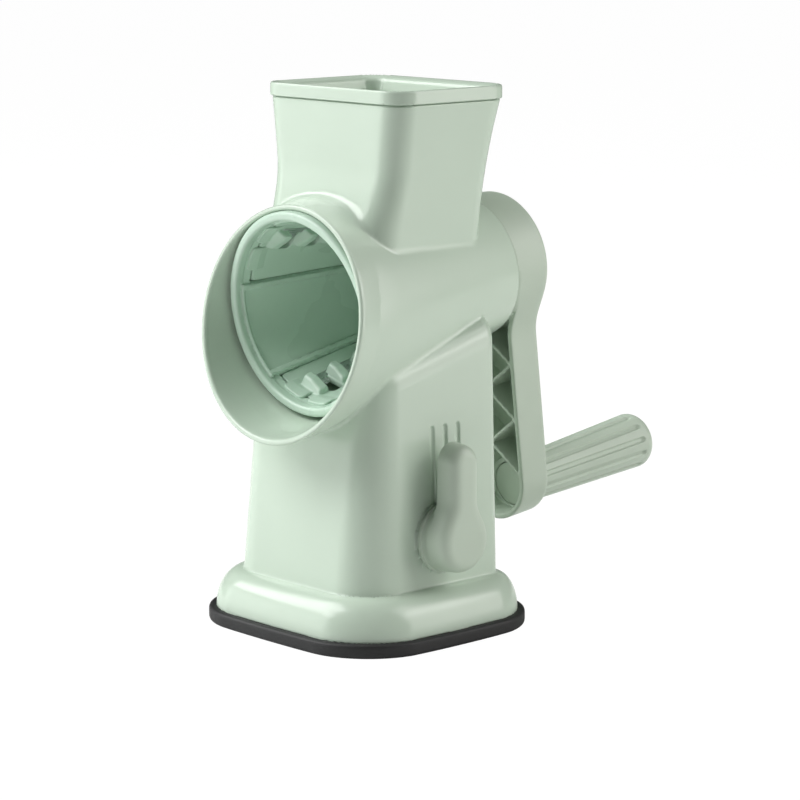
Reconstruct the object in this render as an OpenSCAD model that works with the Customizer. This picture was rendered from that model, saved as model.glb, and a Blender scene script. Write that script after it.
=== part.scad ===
// Rotary cabbage shredder on a suction base: hopper, conical cutting drum, crank and suction lever.
// Origin at the centre of the foot's underside, +Z up, the mouth faces -Y and the lever is on +X.

/* [Whole object] */
// Height of the drum axis above the origin
axis_height = 140.6; // [136:0.1:145]
// Tilt of the drum axis, lower at the mouth
axis_tilt = 6.9; // [4:0.1:9]
// Wall thickness of the mouldings
wall = 2.4; // [1.8:0.1:3]
// Running gap between neighbouring pieces
gap = 0.4; // [0.3:0.1:0.6]
// Radial clearance of a shaft in its bush
shaft_play = 0.08; // [0.04:0.01:0.1]

/* [Foot] */
// Width of the rubber foot, along X
foot_w = 121.6; // [116:0.1:130]
// Length of the rubber foot, along Y
foot_l = 114.2; // [108:0.1:122]
// Height of the rubber band
foot_h = 6.5; // [6:0.5:10]
// Thickness of the rubber under the base plate
pad_t = 3; // [2:0.1:3.5]
// Thickness of the rubber band round the base plate
band_t = 4.4; // [3.5:0.1:6]
// Corner radius of the foot
foot_corner_r = 29; // [24:0.5:34]
// Outward bow of each side of the foot
side_bow = 3; // [1:0.5:4]
// Thickness of the plate inside the foot
plate_t = 3; // [2.5:0.1:4]
// Radius of the disc that lifts the middle of the rubber
insert_r = 20; // [16:0.5:24]
// Thickness of that disc
insert_t = 1.6; // [1.2:0.1:2]

/* [Skirt and column] */
// Step in from the foot to the skirt
skirt_step = 3.2; // [2:0.1:5]
// Height of the rounded skirt
skirt_h = 16; // [12:0.5:18]
// Width of the column at the skirt
column_w = 90; // [86:0.5:96]
// Length of the column at the skirt
column_l = 83; // [78:0.5:88]
// Width of the column at the drum tube
column_top_w = 80; // [76:0.5:86]
// How far the front of the column leans back at its top
column_lean = 12; // [8:0.5:18]
// How much less the column reaches to the rear than to the front
column_rear = 4.3; // [2:0.1:5]
// How far the rear of the column leans back at its top
column_back = 1.6; // [0:0.1:4]
// Radius of the column's front corners at the skirt
column_corner_r = 20; // [16:0.5:26]
// Radius of the column's front corners at the drum tube
column_top_corner_r = 12; // [9:0.5:16]
// Radius of the column's rear corners
column_rear_r = 6; // [5.5:0.5:12]
// Height of the column's shoulder at the rear
shoulder_z = 133; // [128:0.5:136]
// Slope of the shoulder, higher at the rear
shoulder_slope = 14; // [8:0.5:18]
// Rounding of the shoulder's edge
shoulder_round = 2.5; // [1.5:0.1:4]

/* [Drum tube] */
// Outer radius of the tube at the middle of its mouth
mouth_r = 49.4; // [47:0.1:51]
// Distance of the mouth from the origin along the drum axis
mouth_s = 48.5; // [46:0.1:51]
// Lean of the mouth's plane, back at the top
mouth_lean = 9.6; // [4:0.1:12]
// Growth of the radius per length in the mouth's collar
collar_rate_share = 0.085; // [0.05:0.005:0.12]
// Place where the collar meets the cone
collar_s = 38; // [34:0.5:42]
// Outer radius of the tube's rear end
tube_rear_r = 31; // [29:0.1:33]
// Distance of the tube's rear end from the origin along the axis
tube_rear_s = 60.7; // [58:0.1:63]
// Thickness of the tube's rear wall
rear_wall_t = 3; // [2.4:0.1:4]

/* [Hopper] */
// Width of the hopper's top, along X
hopper_w = 84.8; // [82:0.1:88]
// Length of the hopper's top, along Y
hopper_l = 64.6; // [60:0.1:66]
// Middle of the hopper's top along Y
hopper_y = 11.5; // [8:0.1:13]
// Height of the hopper's top edge
hopper_top_z = 224; // [218:0.5:232]
// Width of the hopper's neck at its front
neck_w = 75.4; // [72:0.1:80]
// Width of the hopper's neck at its rear
neck_rear_w = 51; // [48:0.5:60]
// How far the neck flares forward onto the tube
neck_flare = 8; // [6:0.1:11]
// How far the hopper's rear is drawn in at mid height
rear_draw = 3.8; // [2:0.1:5]
// Radius of the neck's front corners
neck_corner_r = 18; // [14:0.5:20]
// Radius of the hopper's front corners at its top
hopper_corner_r = 13.5; // [12:0.5:18]
// Radius of the hopper's rear corners
hopper_rear_r = 9; // [8:0.5:14]

/* [Pusher] */
// Height of the pusher's rim
rim_h = 6; // [4:0.5:8]
// Overhang of the rim past the hopper
rim_over = 0.8; // [0.3:0.1:1.5]
// Width of the rim's top face
rim_w = 4.4; // [3.5:0.1:6]
// Wall of the pusher's cup
pusher_wall = 2; // [1.5:0.1:2.5]
// Gap between the cup and the hopper
pusher_play = 0.8; // [0.5:0.1:1.2]
// Height of the underside of the cup
pusher_low_z = 189; // [187:0.5:200]

/* [Drum] */
// Gap between the drum and the tube
drum_gap = 3.3; // [2.6:0.1:3.6]
// Wall of the drum
drum_wall = 2.2; // [1.8:0.1:2.6]
// Distance of the drum's front edge from the origin along the axis
drum_front_s = 38.5; // [36:0.1:40]
// Outer radius of the drum's front ring
ring_r = 42.9; // [42:0.1:43.4]
// Length of the drum's front ring
ring_len = 7.5; // [6:0.5:9]
// Distance of the drum's rear face from the origin along the axis
drum_rear_s = 50.5; // [48:0.1:52]
// Angle that each cutting insert spans
insert_angle = 57; // [52:0.5:60]
// Angle of the first insert's middle, from the top towards -X
insert_first_angle = 49; // [40:1:60]
// Length of each cutting insert along the drum
cut_len = 72; // [66:0.5:74]
// Height of the rib round each plain panel
rib_h = 1.4; // [1:0.1:2]
// Width of that rib
rib_w = 2; // [1.5:0.1:3]
// Number of cutting openings in an insert
cutter_count = 5; // [3:1:6]
// Distance between the openings
cutter_pitch = 13.2; // [12:0.1:14]
// Length of an opening along the drum
slot_len = 6.6; // [5:0.1:7.5]
// Angle that an opening spans round the drum
slot_angle = 20; // [14:1:24]
// Height of the ramps beside the openings
ramp_h = 4; // [2.5:0.1:5]
// Thickness of the steel blades
blade_t = 0.6; // [0.4:0.1:0.8]

/* [Drive] */
// Radius of the drive shaft's journal
journal_r = 9; // [8:0.5:10]
// Width across the flats of the shaft's hexagon
hex_w = 12; // [10:0.5:13]
// Wall of the rear bush
bush_t = 1.5; // [1.2:0.1:2]
// Length of the boss round the rear bush, behind the tube
bush_boss_len = 4; // [3:0.5:5]
// Radius of the drive screw's thread
drive_screw_r = 2.5; // [2:0.1:3]

/* [Crank] */
// Outer radius of the crank's hub
hub_r = 30; // [28.5:0.1:31]
// Distance of the crank's outer face from the origin along the axis
crank_face_s = 81.3; // [79:0.1:84]
// Depth of the arm's channel side wall
arm_depth = 17; // [14:0.1:18]
// Half width of the arm
arm_half_w = 19.3; // [17:0.1:21]
// Distance between the drum axis and the middle of the arm's round end
arm_reach = 97.5; // [90:0.5:110]
// Radius of the fillet between hub and arm
arm_fillet_r = 25; // [18:0.5:32]
// Thickness of the crank's outer face
crank_face_t = 3; // [2.5:0.1:4]
// Thickness of the ribs in the arm
lattice_t = 1.6; // [1.2:0.1:2.2]
// Distance between the crossings of the ribs
lattice_pitch = 25; // [20:0.5:30]
// Number of crossings
lattice_count = 3; // [2:1:3]

/* [Grip] */
// Distance between the drum axis and the grip's axis
grip_reach = 103.5; // [95:0.5:105]
// Height of the boss under the grip
grip_boss_h = 4; // [2.5:0.1:5]
// Radius of that boss
grip_boss_r = 12.6; // [12:0.1:16]
// Length of the grip
grip_len = 75.5; // [68:0.5:85]
// Radius of the grip at the arm
grip_root_r = 10.6; // [10:0.1:11.5]
// Largest radius of the grip
grip_r = 12.7; // [12:0.1:13.5]
// Number of flutes
flute_count = 12; // [10:1:14]
// Radius of a flute
flute_r = 1.5; // [1.1:0.1:1.8]
// Radius of the grip's axle
axle_r = 4; // [3.5:0.1:4.5]

/* [Suction lever] */
// Height of the lever's axis
lever_z = 43.3; // [41:0.1:46]
// Place of the lever's axis along Y
lever_y = 2.5; // [0:0.1:5]
// Radius of the lever's hub
lever_hub_r = 14.2; // [13:0.1:15]
// Radius of the thin flange behind the hub
lever_flange_r = 15; // [14:0.1:16]
// Half width of the lever's arm
lever_half_w = 7.6; // [6.5:0.1:8.5]
// Distance between the lever's axis and the middle of its round tip
lever_reach = 33.6; // [28:0.1:38]
// Radius of the fillet between hub and arm
lever_fillet_r = 12; // [8:0.5:18]
// Distance of the lever's front face from the middle plane
lever_face_x = 60; // [58:0.1:62]
// Thickness of the lever's arm
lever_arm_t = 10.5; // [9:0.1:11]
// Radius of the lever's shaft
lever_shaft_r = 5; // [4.5:0.1:6]
// Lift of the rubber's middle at a quarter turn
lift = 3; // [2:0.1:3.5]
// Radius of the lifting cam
cam_r = 7; // [6.5:0.1:8]
// Width of the lifting cam
cam_w = 8; // [6:0.5:10]

/* [Grooves beside the lever] */
// Number of grooves
groove_count = 3; // [1:1:3]
// Distance between the grooves
groove_pitch = 7.3; // [6:0.1:8.5]
// Radius of a groove
groove_r = 1.3; // [1:0.1:1.6]
// Height of the grooves' upper ends
groove_top_z = 91; // [85:0.5:96]
// Height of the grooves' lower ends
groove_low_z = 50; // [46:0.5:60]

/* [Screws] */
// Radius of the base screws' thread
base_screw_r = 1.7; // [1.5:0.1:2]
// Radius of their heads
base_head_r = 3.2; // [2.8:0.1:3.6]
// Height of their heads
base_head_h = 1.8; // [1.5:0.1:2]
// Length under the head
base_screw_len = 13; // [10:0.5:16]
// Distance of the screws from the middle along X
screw_x = 34.5; // [33.5:0.5:35]
// Distance of the screws from the middle along Y
screw_y = 31; // [30:0.5:31.5]

/* [Hidden] */
$fn = 96;

mint = [0.76, 0.88, 0.80];
mint_dark = [0.66, 0.79, 0.71];
steel = [0.80, 0.81, 0.82];
rubber = [0.16, 0.16, 0.17];
nylon = [0.93, 0.93, 0.90];

// Longest cut through anything, taken from the largest size
reach_all = 4 * axis_height;
// Overrun of cuts and of joined pieces
over = 0.5;
insert_count = 3;
// Steps of a corner and of a side in the plan outlines
corner_steps = 7;
side_steps = 4;

// Plan outline with four rounded corners: half width at front and rear, front and rear edge,
// corner radius at front and rear, bow of the sides
function plan_point(half_w, edge_y, r, side, end, a) =
    [side * (half_w - r + r * cos(a)), edge_y - end * (r - r * sin(a))];
function corner(half_w, edge_y, r, side, end) =
    [for (i = [0:corner_steps])
        plan_point(
            half_w, edge_y, r, side, end, 90 * (side * end > 0 ? i : corner_steps - i) / corner_steps)];
function between(a, b, steps) = [for (i = [1:1:steps - 1]) a + (b - a) * i / steps];
function last(list) = list[len(list) - 1];
function closed_plan(c1, c2, c3, c4, steps) = concat(
    c1, between(last(c1), c2[0], steps), c2, between(last(c2), c3[0], steps),
    c3, between(last(c3), c4[0], steps), c4, between(last(c4), c1[0], steps));
function bowed(points, half_w, half_l, mid_y, bow) = [
    for (p = points) let (u = p.x / half_w, v = (p.y - mid_y) / half_l)
        [p.x + bow * u * (1 - v * v), p.y + bow * v * (1 - u * u)]];
function plan(half_f, half_r, front, rear, r_f, r_r, steps) = closed_plan(
    corner(half_r, rear, r_r, 1, 1), corner(half_r, rear, r_r, -1, 1),
    corner(half_f, front, r_f, -1, -1), corner(half_f, front, r_f, 1, -1), steps);
function raised(points, z, slope, pivot_y) = [for (p = points) [p.x, p.y, z + slope * (p.y - pivot_y)]];
function mix(a, b, t) = a + (b - a) * t;
function smooth(t) = let (u = min(1, max(0, t))) u * u * (3 - 2 * u);

// Solid through a stack of rings that all have the same number of points, closed by a flat cap at each
// end; the caps start in the middle of a corner, where no three points are in line
module loft(rings) {
    n = len(rings[0]);
    top = n * (len(rings) - 1);
    start = floor(corner_steps / 2);
    polyhedron(
        points = [for (r = rings) each r],
        faces = concat(
            [[for (i = [0:n - 1]) (i + start) % n]],
            [[for (i = [0:n - 1]) top + (n + start - i) % n]],
            [for (k = [0:len(rings) - 2], i = [0:n - 1]) let (a = k * n + i, b = k * n + (i + 1) % n)
                [a, a + n, b]],
            [for (k = [0:len(rings) - 2], i = [0:n - 1]) let (a = k * n + i, b = k * n + (i + 1) % n)
                [b, a + n, b + n]]));
}

// Local frame of the drum: z runs along the axis towards the crank, y points down
module on_axis() {
    translate([0, 0, axis_height]) rotate([axis_tilt - 90, 0, 0]) children();
}
// Local frame of the lever: z points out of the column, along +X
module on_lever_axis() {
    translate([0, lever_y, lever_z]) rotate([90, 0, 90]) children();
}
module hexagon(w, h) { cylinder(d = w / cos(30), h = h, $fn = 6); }

// Foot and column outlines
foot_half_w = foot_w / 2 - side_bow;
foot_half_l = foot_l / 2 - side_bow;
function foot_plan(inset) = bowed(
    plan(
        foot_half_w - inset, foot_half_w - inset, inset - foot_half_l, foot_half_l - inset,
        foot_corner_r - inset, foot_corner_r - inset, side_steps),
    foot_half_w - inset, foot_half_l - inset, 0, side_bow);
// Ring of the column, with up = 0 at the skirt and 1 at the shoulder
function column_ring(up, inset) = let (
        half = mix(column_w, column_top_w, up) / 2 - inset,
        r = mix(column_corner_r, column_top_corner_r, up) - inset)
    plan(half, half, up * column_lean - column_l / 2 + inset,
        up * column_back - column_rear + column_l / 2 - inset,
        r, column_rear_r - inset, side_steps);
skirt_top_z = foot_h + skirt_h;
function skirt_ring(a, inset) = raised(
    mix(column_ring(0, inset), foot_plan(skirt_step + inset), cos(a)),
    foot_h + (skirt_h - inset) * sin(a), 0, 0);
skirt_steps = 6;
shoulder_steps = 3;
shoulder_rate = tan(shoulder_slope);
column_mid_z = (skirt_top_z + shoulder_z) / 2;
function shoulder_ring(inset, drop) =
    raised(column_ring(1, inset), shoulder_z - drop, shoulder_rate, column_l / 2);
function skirt_rings(inset) = [for (i = [0:skirt_steps]) skirt_ring(90 * i / skirt_steps, inset)];
// One wall, from the inside of the shoulder down, round the lower edge and up the outside
module column_shell() {
    inner = concat(skirt_rings(wall), [
        raised(column_ring(0.5, wall), column_mid_z, 0, 0),
        shoulder_ring(wall, shoulder_round + wall),
        shoulder_ring(wall + shoulder_round, wall)]);
    outer = concat(skirt_rings(0), [raised(column_ring(0.5, 0), column_mid_z, 0, 0)],
        [for (i = [0:shoulder_steps]) let (a = 90 * i / shoulder_steps)
            shoulder_ring(shoulder_round * (1 - cos(a)), shoulder_round * (1 - sin(a)))]);
    loft(concat([for (i = [len(inner) - 1:-1:0]) inner[i]], outer));
}

// Drum tube
collar_r = mouth_r - collar_rate_share * (mouth_s - collar_s);
tube_rate = (collar_r - tube_rear_r) / (collar_s + tube_rear_s);
tube_angle = atan(tube_rate);
// The mouth's lower lip reaches this far, before the slanting cut
lip_s = mouth_s + mouth_r;
lip_r = collar_r + collar_rate_share * (lip_s - collar_s);
function tube_r(s) = s < -collar_s ? collar_r - collar_rate_share * (s + collar_s)
                                   : collar_r - tube_rate * (s + collar_s);
rear_wall_s = tube_rear_s - rear_wall_t;
module tube_solid(inset, rear) {
    rotate_extrude() polygon([
        [0, -lip_s], [lip_r - inset, -lip_s], [collar_r - inset, -collar_s],
        [tube_r(rear) - inset, rear], [0, rear]]);
}
module beyond_mouth() {
    translate([0, 0, -mouth_s]) rotate([-(mouth_lean + axis_tilt), 0, 0])
        translate([0, 0, -reach_all / 2]) cube(reach_all, center = true);
}

// Hopper ring, with up = 0 at its foot inside the tube and 1 at its top
hopper_low_z = axis_height + journal_r;
flare_power = 2.2;
rear_flare_power = 0.8;
flare_from_share = 0.65;
flare_to_share = 0.2;
hopper_front = hopper_y - hopper_l / 2;
hopper_rear = hopper_y + hopper_l / 2;
hopper_level_shares = [0, 0.14, 0.28, 0.38, 0.48, 0.6, 0.74, 0.88, 1];
function hopper_ring(up, inset, flare_len) = let (
        half_f = mix(neck_w, hopper_w, pow(up, flare_power)) / 2 - inset,
        half_r = mix(neck_rear_w, hopper_w, pow(up, rear_flare_power)) / 2 - inset,
        flare = flare_len * smooth((flare_from_share - up) / (flare_from_share - flare_to_share)),
        draw = rear_draw * 4 * up * (1 - up),
        r_f = mix(neck_corner_r, hopper_corner_r, up) - inset,
        r_r = hopper_rear_r - inset)
    plan(half_f, half_r, hopper_front - flare + inset, hopper_rear - draw - inset, r_f, r_r, 1);
hopper_h = hopper_top_z - hopper_low_z;
module hopper_solid(inset, low_share, high_share) {
    shares = [for (u = hopper_level_shares) if (u > low_share && u < high_share) u];
    loft([for (u = concat([low_share], shares, [high_share]))
        raised(hopper_ring(u, inset, neck_flare), hopper_low_z + u * hopper_h, 0, 0)]);
}

// Drive line along the axis
bush_r = journal_r + shaft_play + bush_t;
bush_flange_r = bush_r + bush_t;
bush_end_s = tube_rear_s + bush_boss_len;
thrust_t = 1.2;
bush_flange_s = rear_wall_s - bush_t;
thrust_s = bush_flange_s - gap / 2 - thrust_t;
drum_hub_s = thrust_s - gap;
socket_len = 13;
socket_front_s = drum_hub_s - socket_len;
socket_play = 0.15;
crank_boss_s = bush_end_s + gap;
crank_floor_s = crank_face_s - crank_face_t;
crank_boss_r = journal_r + wall;
drive_head_r = hex_w / 2 / cos(30) + bush_t;
drive_head_h = drive_screw_r;
drive_head_s = crank_face_s - drive_head_h;
cap_r = drive_head_r + gap + wall;
cap_t = 1.5;
crank_front_s = tube_rear_s + gap;
arm_front_s = crank_face_s - arm_depth;

// Housing: skirt, column, drum tube and hopper in one moulding
post_r = base_head_r + wall / 2;
post_top_z = skirt_top_z + foot_h;
lever_bush_r = lever_shaft_r + shaft_play + bush_t;
lever_boss_r = lever_bush_r + wall;
lever_boss_len = 9;
face_rate = (column_w - column_top_w) / 2 / (shoulder_z - skirt_top_z);
function column_face_x(z) = column_w / 2 - face_rate * (z - skirt_top_z);
lever_wall_x = column_face_x(lever_z);
lever_boss_x = lever_wall_x - lever_boss_len;
// The lever's seat is flat and stands just clear of the sloping wall
lever_pad_x = column_face_x(lever_z - lever_flange_r) + gap / 2;
// The grooves stand this far behind the lever's axis
groove_shift = 3.9;
module grooves() {
    angle = atan(face_rate);
    for (k = [0:groove_count - 1]) {
        y = lever_y + groove_shift + (k - (groove_count - 1) / 2) * groove_pitch;
        translate([column_face_x(groove_low_z), y, groove_low_z]) rotate([0, -angle, 0])
            cylinder(r = groove_r, h = (groove_top_z - groove_low_z) / cos(angle));
        translate([column_face_x(groove_top_z), y, groove_top_z]) sphere(r = groove_r);
        translate([column_face_x(groove_low_z), y, groove_low_z]) sphere(r = groove_r);
    }
}
module screw_places() {
    for (sx = [-1, 1], sy = [-1, 1]) translate([sx * screw_x, sy * screw_y, 0]) children();
}
// Ribs that tie the rear posts to the column's sides
post_rib_len = column_w / 2 - wall + gap - screw_x;
module post_ribs() {
    for (side = [-1, 1])
        translate([side * (screw_x + post_rib_len / 2), screw_y, (foot_h + post_top_z) / 2])
            cube([post_rib_len, wall, post_top_z - foot_h], center = true);
}
module housing() color(mint) difference() {
    union() {
        column_shell();
        hopper_solid(0, 0, 1);
        on_axis() difference() {
            union() {
                tube_solid(0, tube_rear_s);
                cylinder(r = bush_r + wall, h = bush_end_s);
            }
            beyond_mouth();
        }
        screw_places() translate([0, 0, foot_h]) cylinder(r = post_r, h = post_top_z - foot_h);
        post_ribs();
        on_lever_axis() translate([0, 0, lever_boss_x]) cylinder(r = lever_boss_r, h = lever_boss_len);
        on_lever_axis() translate([0, 0, lever_boss_x + lever_boss_len - wall / 2])
            cylinder(r = lever_flange_r, h = lever_pad_x - lever_wall_x + wall / 2);
    }
    on_axis() tube_solid(wall, rear_wall_s);
    hopper_solid(wall, 0, 1 + over / hopper_h);
    on_axis() cylinder(r = bush_r, h = reach_all);
    on_lever_axis() translate([0, 0, lever_boss_x - over]) cylinder(r = lever_bush_r, h = reach_all);
    on_lever_axis() translate([0, 0, lever_pad_x - bush_t])
        cylinder(r = lever_bush_r + bush_t + gap / 2, h = reach_all);
    grooves();
    screw_places() translate([0, 0, foot_h - over])
        cylinder(r = base_screw_r, h = base_screw_len - plate_t + 2 * over);
}
module rear_bush() color(nylon) on_axis() difference() {
    union() {
        translate([0, 0, bush_flange_s]) cylinder(r = bush_flange_r, h = bush_t);
        translate([0, 0, bush_flange_s]) cylinder(r = bush_r, h = bush_end_s - bush_flange_s);
    }
    cylinder(r = journal_r + shaft_play, h = reach_all);
}

// Pusher: a hollow cup hung from a rim that seats on the hopper, as one wall from the inside of the
// floor up, over the rim and down the outside; its front is straight, so that it lifts past the flare
pusher_inset = wall + pusher_play;
pusher_low_share = (pusher_low_z - hopper_low_z) / hopper_h;
pusher_floor_share = pusher_low_share + pusher_wall / hopper_h;
function rim_ring(inset, z) = raised(
    plan(
        hopper_w / 2 + rim_over - inset, hopper_w / 2 + rim_over - inset,
        hopper_front - rim_over + inset, hopper_rear + rim_over - inset,
        hopper_corner_r + rim_over - inset, hopper_rear_r + rim_over - inset, 1),
    z, 0, 0);
function pusher_rings(inset, low_share) =
    [for (u = concat([low_share], [for (u = hopper_level_shares) if (u > pusher_floor_share) u]))
        raised(hopper_ring(u, inset, 0), hopper_low_z + u * hopper_h, 0, 0)];
module pusher() color(mint) {
    outer = pusher_rings(pusher_inset, pusher_low_share);
    inner = pusher_rings(pusher_inset + pusher_wall, pusher_floor_share);
    rim_top_z = hopper_top_z + rim_h;
    loft(concat(
        outer, [rim_ring(0, hopper_top_z), rim_ring(0, rim_top_z), rim_ring(rim_w, rim_top_z)],
        [for (i = [len(inner) - 1:-1:0]) inner[i]]));
}

// Drum: conical frame with three plain panels and three windows that hold the inserts
function drum_r(s) = tube_r(s) - wall - drum_gap;
insert_step = 0.5;
insert_front_s = ring_len - drum_front_s + insert_step;
insert_rear_s = insert_front_s + cut_len;
module cone_band(outer, inner, from, to, angle) {
    rotate([0, 0, -angle / 2]) rotate_extrude(angle = angle) polygon([
        [drum_r(from) + outer, from], [drum_r(to) + outer, to],
        [drum_r(to) - inner, to], [drum_r(from) - inner, from]]);
}
module at_insert(k) {
    rotate([0, 0, -90 - insert_first_angle - k * 360 / insert_count]) children();
}
rib_angle = rib_w / drum_r(0) * 180 / PI;
plate_gap = 0.25;
plate_gap_angle = plate_gap / drum_r(0) * 180 / PI;
module drum_frame() color(mint) on_axis() difference() {
    union() {
        rotate_extrude() polygon([
            [drum_r(-drum_front_s), -drum_front_s], [drum_r(drum_rear_s), drum_rear_s],
            [0, drum_rear_s], [0, drum_rear_s - drum_wall],
            [drum_r(drum_rear_s) - drum_wall, drum_rear_s - drum_wall],
            [drum_r(-drum_front_s) - drum_wall, -drum_front_s]]);
        translate([0, 0, -drum_front_s]) difference() {
            cylinder(r = ring_r, h = ring_len);
            translate([0, 0, -over]) cylinder(r = ring_r - 2 * drum_wall, h = ring_len + 2 * over);
        }
        for (k = [0:insert_count - 1]) at_insert(k) rotate([0, 0, 180 / insert_count]) difference() {
            panel = 360 / insert_count - insert_angle - 2 * plate_gap_angle;
            cone_band(-drum_wall / 2, drum_wall + rib_h, insert_front_s - rib_w, insert_rear_s, panel);
            cone_band(drum_wall, 2 * (drum_wall + rib_h), insert_front_s, insert_rear_s + over,
                panel - 2 * rib_angle);
        }
        translate([0, 0, socket_front_s - drum_wall])
            cylinder(r = hex_w / 2 + 2 * drum_wall, h = socket_len + drum_wall);
    }
    for (k = [0:insert_count - 1]) at_insert(k)
        cone_band(drum_wall, 2 * drum_wall, insert_front_s, insert_rear_s, insert_angle);
    translate([0, 0, socket_front_s]) hexagon(hex_w + 2 * socket_play, socket_len + over);
}

// Cutting insert: a plate with a row of openings and a ramp beside each
insert_plate_angle = insert_angle - 2 * plate_gap_angle;
first_slot_s = insert_front_s + cutter_pitch;
// A ramp leaves this much of the plate free on each side
ramp_land = 0.5;
ramp_base = cutter_pitch - slot_len - 2 * ramp_land;
ramp_top_share = 0.45;
ramp_tip_share = 0.25;
ramp_w_share = 0.85;
function ramp_w(s) = ramp_w_share * drum_r(s) * slot_angle * PI / 180;
module on_cone(s) {
    translate([drum_r(s), 0, s]) rotate([0, -tube_angle, 0]) children();
}
module cutting_insert(k) color(mint_dark) on_axis() at_insert(k) {
    difference() {
        union() {
            cone_band(
                0, drum_wall, insert_front_s + plate_gap, insert_rear_s - plate_gap, insert_plate_angle);
            for (i = [0:cutter_count - 1]) {
                s = first_slot_s + (i - 0.5) * cutter_pitch;
                on_cone(s) translate([-drum_wall / 2, ramp_w(s) / 2, 0]) rotate([90, 0, 0])
                    linear_extrude(ramp_w(s)) polygon([
                        [0, -ramp_base / 2], [0, ramp_base / 2],
                        [-ramp_h, ramp_base * ramp_top_share / 2],
                        [-ramp_h - drum_wall / 2, -ramp_base * ramp_tip_share]]);
            }
        }
        for (i = [0:cutter_count - 1]) {
            s = first_slot_s + i * cutter_pitch;
            cone_band(drum_wall, ramp_h + drum_wall, s - slot_len / 2, s + slot_len / 2, slot_angle);
        }
    }
}
// Blade strip: a steel comb beside the openings, with one tongue over each
strip_w = 3;
// The comb reaches this far past its last openings
strip_over = 5;
tongue_w = 3.4;
tongue_share = 0.55;
strip_angle = strip_w / drum_r(0) * 180 / PI;
tongue_angle = tongue_share * slot_angle;
strip_start_angle = slot_angle / 2 + plate_gap_angle;
module blade_strip(k) color(steel) on_axis() at_insert(k) difference() {
    last_slot_s = first_slot_s + (cutter_count - 1) * cutter_pitch;
    rotate([0, 0, strip_start_angle + (strip_angle - tongue_angle) / 2])
        cone_band(-drum_wall, drum_wall + blade_t, first_slot_s - strip_over, last_slot_s + strip_over,
            strip_angle + tongue_angle);
    for (i = [0:cutter_count]) {
        s = first_slot_s + (i - 0.5) * cutter_pitch;
        half = (cutter_pitch - tongue_w) / 2;
        rotate([0, 0, strip_start_angle - (tongue_angle + strip_angle) / 2])
            cone_band(0, 2 * drum_wall, s - half, s + half, tongue_angle + strip_angle);
    }
}

// Drive shaft: hexagon into the drum, thrust collar, journal, hexagon into the crank
module drive_shaft() color(steel) on_axis() difference() {
    union() {
        translate([0, 0, socket_front_s + gap]) hexagon(hex_w, thrust_s - socket_front_s - gap);
        translate([0, 0, thrust_s]) cylinder(r = journal_r + 2 * thrust_t, h = thrust_t);
        translate([0, 0, thrust_s]) cylinder(r = journal_r, h = crank_boss_s - thrust_s);
        translate([0, 0, crank_boss_s]) hexagon(hex_w, crank_floor_s - crank_boss_s);
    }
    translate([0, 0, bush_end_s - gap]) cylinder(r = drive_screw_r, h = reach_all);
}
module drive_screw() color(steel) on_axis() {
    translate([0, 0, bush_end_s]) cylinder(r = drive_screw_r, h = drive_head_s - bush_end_s);
    translate([0, 0, drive_head_s]) cylinder(r = drive_head_r, h = drive_head_h);
}
module hub_cap() color(mint) on_axis() translate([0, 0, crank_face_s]) cylinder(r = cap_r, h = cap_t);

// Plan of a round hub with an arm that runs down from it, fillets between them and a round end
module paddle(hub, half, reach, fillet) {
    centre_x = half + fillet;
    centre_y = sqrt(pow(hub + fillet, 2) - pow(centre_x, 2));
    touch = hub / (hub + fillet);
    circle(r = hub);
    translate([0, reach]) circle(r = half);
    translate([-half, 0]) square([2 * half, reach]);
    for (side = [-1, 1]) scale([side, 1]) difference() {
        polygon([
            [0, 0], [centre_x * touch, centre_y * touch], [centre_x, centre_y], [half, centre_y],
            [0, centre_y]]);
        translate([centre_x, centre_y]) circle(r = fillet);
    }
}
module crank_plan(inset) {
    paddle(hub_r - inset, arm_half_w - inset, arm_reach, arm_fillet_r + inset);
}
axle_head_share = 2.4;
axle_head_r = axle_head_share * axle_r;
axle_head_t = 2.5;
grip_front_s = crank_face_s + grip_boss_h + gap;
axle_head_s = crank_floor_s - axle_head_t;
// The first crossing of the ribs stands this share of a pitch before the round end's middle
lattice_start_share = 0.65;
module crank_arm() color(mint) on_axis() difference() {
    union() {
        translate([0, 0, arm_front_s]) difference() {
            linear_extrude(arm_depth) crank_plan(0);
            translate([0, 0, -over]) linear_extrude(arm_depth - crank_face_t + over) crank_plan(wall);
        }
        translate([0, 0, crank_front_s]) difference() {
            cylinder(r = hub_r, h = crank_floor_s - crank_front_s);
            translate([0, 0, -over]) cylinder(r = hub_r - wall, h = reach_all);
        }
        translate([0, 0, crank_boss_s]) cylinder(r = crank_boss_r, h = crank_floor_s - crank_boss_s);
        translate([0, 0, arm_front_s + gap]) linear_extrude(arm_depth - crank_face_t) intersection() {
            crank_plan(wall / 2);
            for (k = [0:lattice_count - 1], side = [-1, 1])
                translate([0, arm_reach - lattice_pitch * (k + lattice_start_share)])
                    rotate([0, 0, side * atan(lattice_pitch / 2 / (arm_half_w - wall))])
                        square([4 * arm_half_w, lattice_t], center = true);
        }
        translate([0, grip_reach, crank_floor_s - axle_head_t - gap])
            cylinder(r = axle_head_r + gap + wall, h = axle_head_t + gap + crank_face_t);
        translate([0, grip_reach, crank_floor_s]) cylinder(r = grip_boss_r, h = crank_face_t + grip_boss_h);
    }
    hexagon(hex_w, reach_all);
    translate([0, 0, drive_head_s]) cylinder(r = drive_head_r + gap, h = reach_all);
    translate([0, grip_reach, 0]) cylinder(r = axle_r, h = reach_all);
    translate([0, grip_reach, axle_head_s - reach_all])
        cylinder(r = axle_head_r + gap, h = reach_all + axle_head_t);
}
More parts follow.
